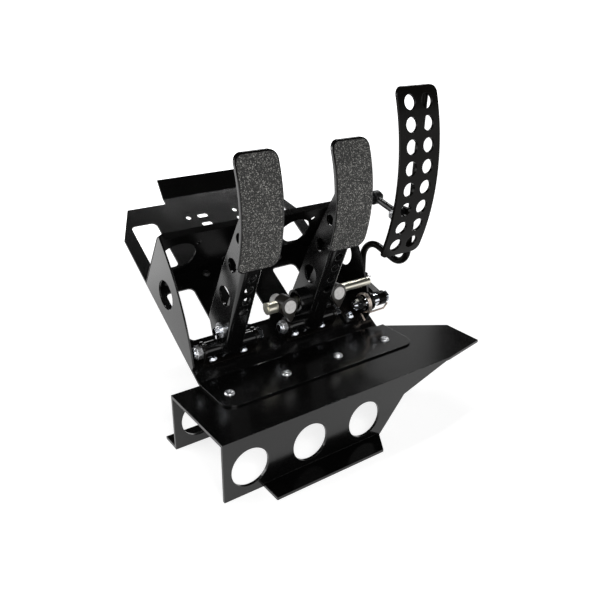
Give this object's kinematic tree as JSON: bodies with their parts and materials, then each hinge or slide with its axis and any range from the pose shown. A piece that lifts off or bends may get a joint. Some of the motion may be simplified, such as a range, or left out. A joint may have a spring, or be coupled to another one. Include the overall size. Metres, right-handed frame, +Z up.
{
  "type": "pedal box",
  "caption": "Black floor-mounted pedal box: folded tray on a drilled stand, clutch and brake pedals with balance bar, perforated throttle pedal",
  "frame": {"origin": "middle of the part's outline seen from above, on the floor", "axes": "X across the box from the clutch to the throttle, Y from the driver to the bulkhead, Z up"},
  "size_m": [0.3432, 0.353, 0.3448],
  "materials": {
    "powder_coat": "satin black powder coat",
    "arm_coat": "gloss black powder coat",
    "bracket_coat": "black powder coat",
    "grit": "gritty dark grey facing",
    "throttle_coat": "satin black coat",
    "zinc": "bright zinc plate",
    "chrome": "polished bright",
    "bar_steel": "ground steel with a warm tint",
    "bronze": "sintered bronze",
    "spring_steel": "drawn wire",
    "dark_steel": "black oxide"
  },
  "bodies": {
    "frame": {"floor_stand": "powder_coat", "base_tray": "powder_coat", "cylinder_wall": "powder_coat", "stand_bolts": "zinc", "stand_nuts": "zinc", "wall_bolts": "dark_steel", "wall_nuts": "dark_steel", "clutch_bracket": "bracket_coat", "brake_bracket": "bracket_coat", "throttle_bracket": "bracket_coat", "bracket_bolts": "chrome", "bracket_nuts": "zinc", "pivot_bolts": "chrome", "pivot_nuts": "zinc", "pivot_washers": "arm_coat", "pivot_spacers": "arm_coat", "throttle_return_spring": "spring_steel"},
    "clutch_pedal": {"clutch_arm": "arm_coat", "clutch_pad": "arm_coat", "clutch_grip": "grit", "clutch_pivot_tube": "arm_coat", "clutch_bushes": "bronze", "clutch_clevis_pin": "chrome", "clutch_pin_washer": "zinc", "clutch_split_pin": "zinc"},
    "brake_pedal": {"brake_arm": "arm_coat", "brake_pad": "arm_coat", "brake_grip": "grit", "brake_pivot_tube": "arm_coat", "brake_bushes": "bronze", "bar_housing": "arm_coat"},
    "bar": {"balance_bar": "bar_steel", "bar_bearing": "bar_steel", "bar_trunnions": "bracket_coat", "push_rod_sockets": "zinc", "bar_end_nut": "bar_steel"},
    "throttle_pedal": {"throttle_plate": "throttle_coat", "throttle_rod": "throttle_coat", "throttle_lever": "throttle_coat", "throttle_shaft": "chrome", "shaft_nuts": "chrome", "throttle_split_pin": "zinc", "link_bolt": "zinc", "link_nut": "zinc"},
    "link": {"throttle_link": "dark_steel", "link_end_bolt": "dark_steel", "link_end_nut": "dark_steel"}
  },
  "joints": [
    {"name": "clutch_pivot", "type": "hinge", "parent": "frame", "child": "clutch_pedal", "pos_m": [-0.09625, -0.0353, 0.09205], "axis": [-1, 0, 0], "range_deg": [0, 18]},
    {"name": "brake_pivot", "type": "hinge", "parent": "frame", "child": "brake_pedal", "pos_m": [0.00775, -0.0353, 0.09205], "axis": [-1, 0, 0], "range_deg": [0, 14]},
    {"name": "balance_swivel", "type": "hinge", "parent": "brake_pedal", "child": "bar", "pos_m": [0.00775, -0.03397, 0.11823], "axis": [0, -0.5299, 0.848], "range_deg": [-3, 3]},
    {"name": "throttle_pivot", "type": "hinge", "parent": "frame", "child": "throttle_pedal", "pos_m": [0.11175, -0.0353, 0.09205], "axis": [-1, 0, 0], "range_deg": [0, 16], "stiffness_Nm_per_rad": 2.5, "springref_deg": -22.92},
    {"name": "link_swivel", "type": "hinge", "parent": "throttle_pedal", "child": "link", "pos_m": [0.10375, -0.06652, 0.206], "axis": [1, 0, 0], "range_deg": [-15, 15]}
  ]
}
